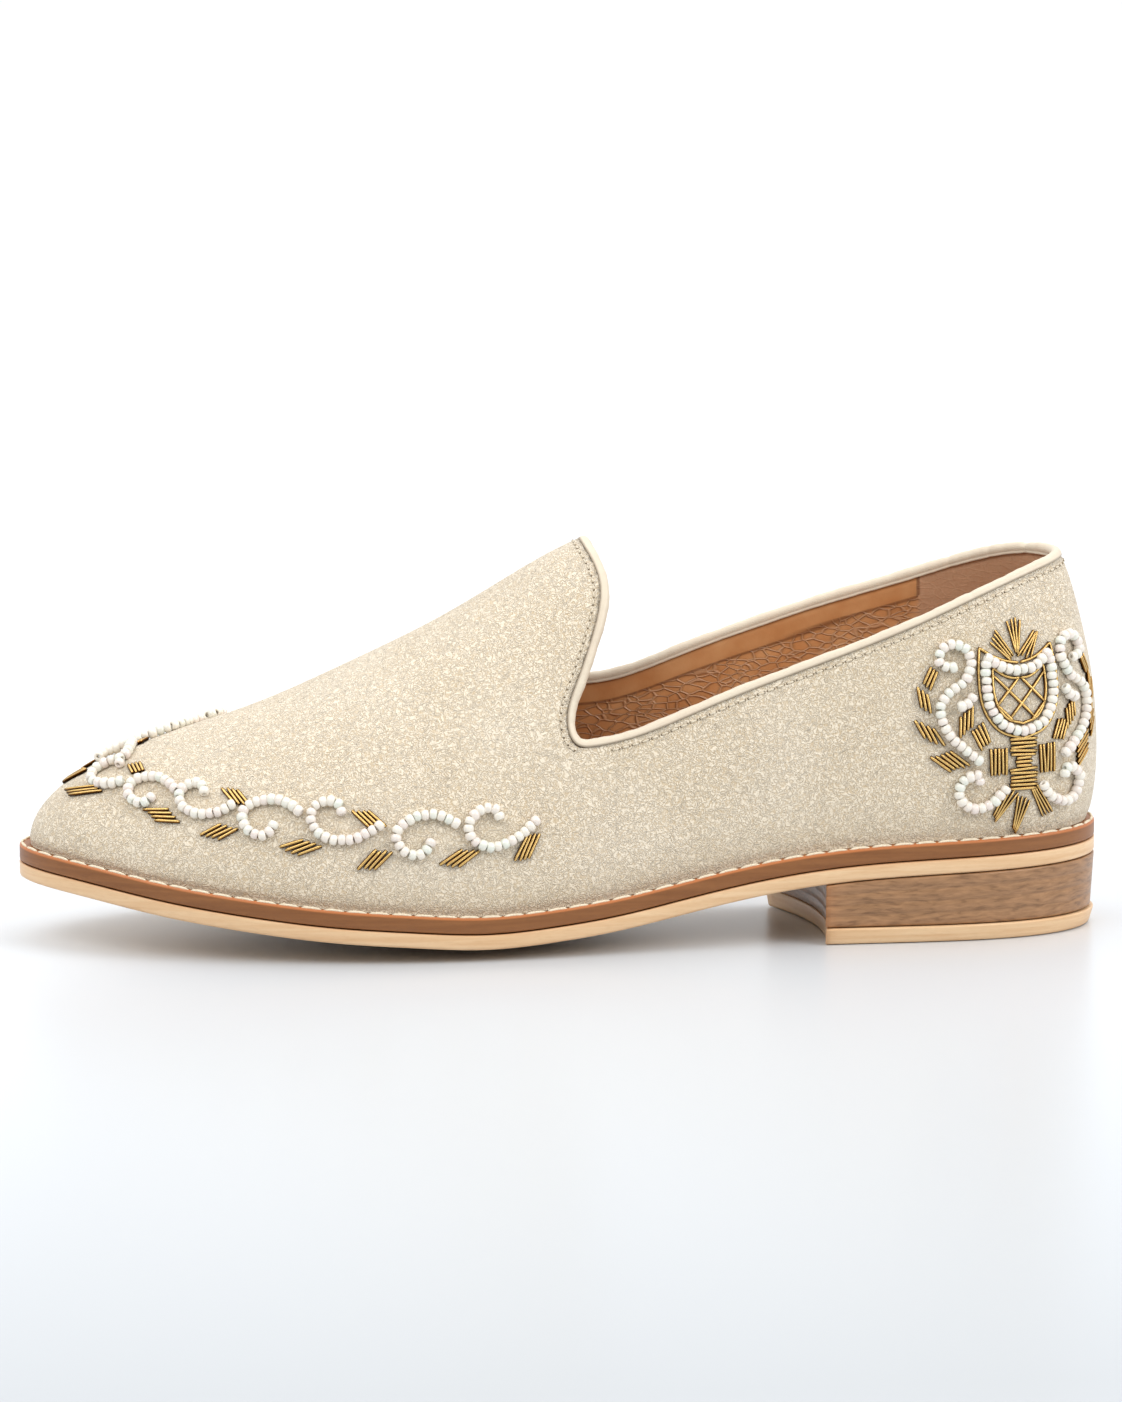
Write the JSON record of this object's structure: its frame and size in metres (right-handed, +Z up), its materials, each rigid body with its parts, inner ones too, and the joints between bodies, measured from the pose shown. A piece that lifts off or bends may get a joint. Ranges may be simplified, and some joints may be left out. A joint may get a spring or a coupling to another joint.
{
  "type": "embellished loafer",
  "caption": "Left slip-on loafer in ivory suede with a bound collar, stitched welt, low stacked heel and beaded goldwork on forefoot and heel.",
  "frame": {"origin": "middle of the shoe's own box, on the floor", "axes": "+X from toe to heel, +Y to the medial side, +Z up; the lateral side faces -Y"},
  "size_m": [0.2704, 0.0878, 0.0991],
  "materials": {
    "suede": "ivory suede with a short curled nap",
    "binding_leather": "smooth cream leather",
    "lining_leather": "tan lining leather",
    "welt_leather": "burnished brown leather edge",
    "sole_leather": "natural waxed sole leather",
    "stacked_leather": "stacked heel leather with fine layers"
  },
  "bodies": {
    "root": {"outsole": "sole_leather", "midsole": "welt_leather", "heel_stack": "stacked_leather", "top_lift": "sole_leather", "insole": "lining_leather", "upper": "suede", "collar_binding": "binding_leather"}
  },
  "joints": []
}
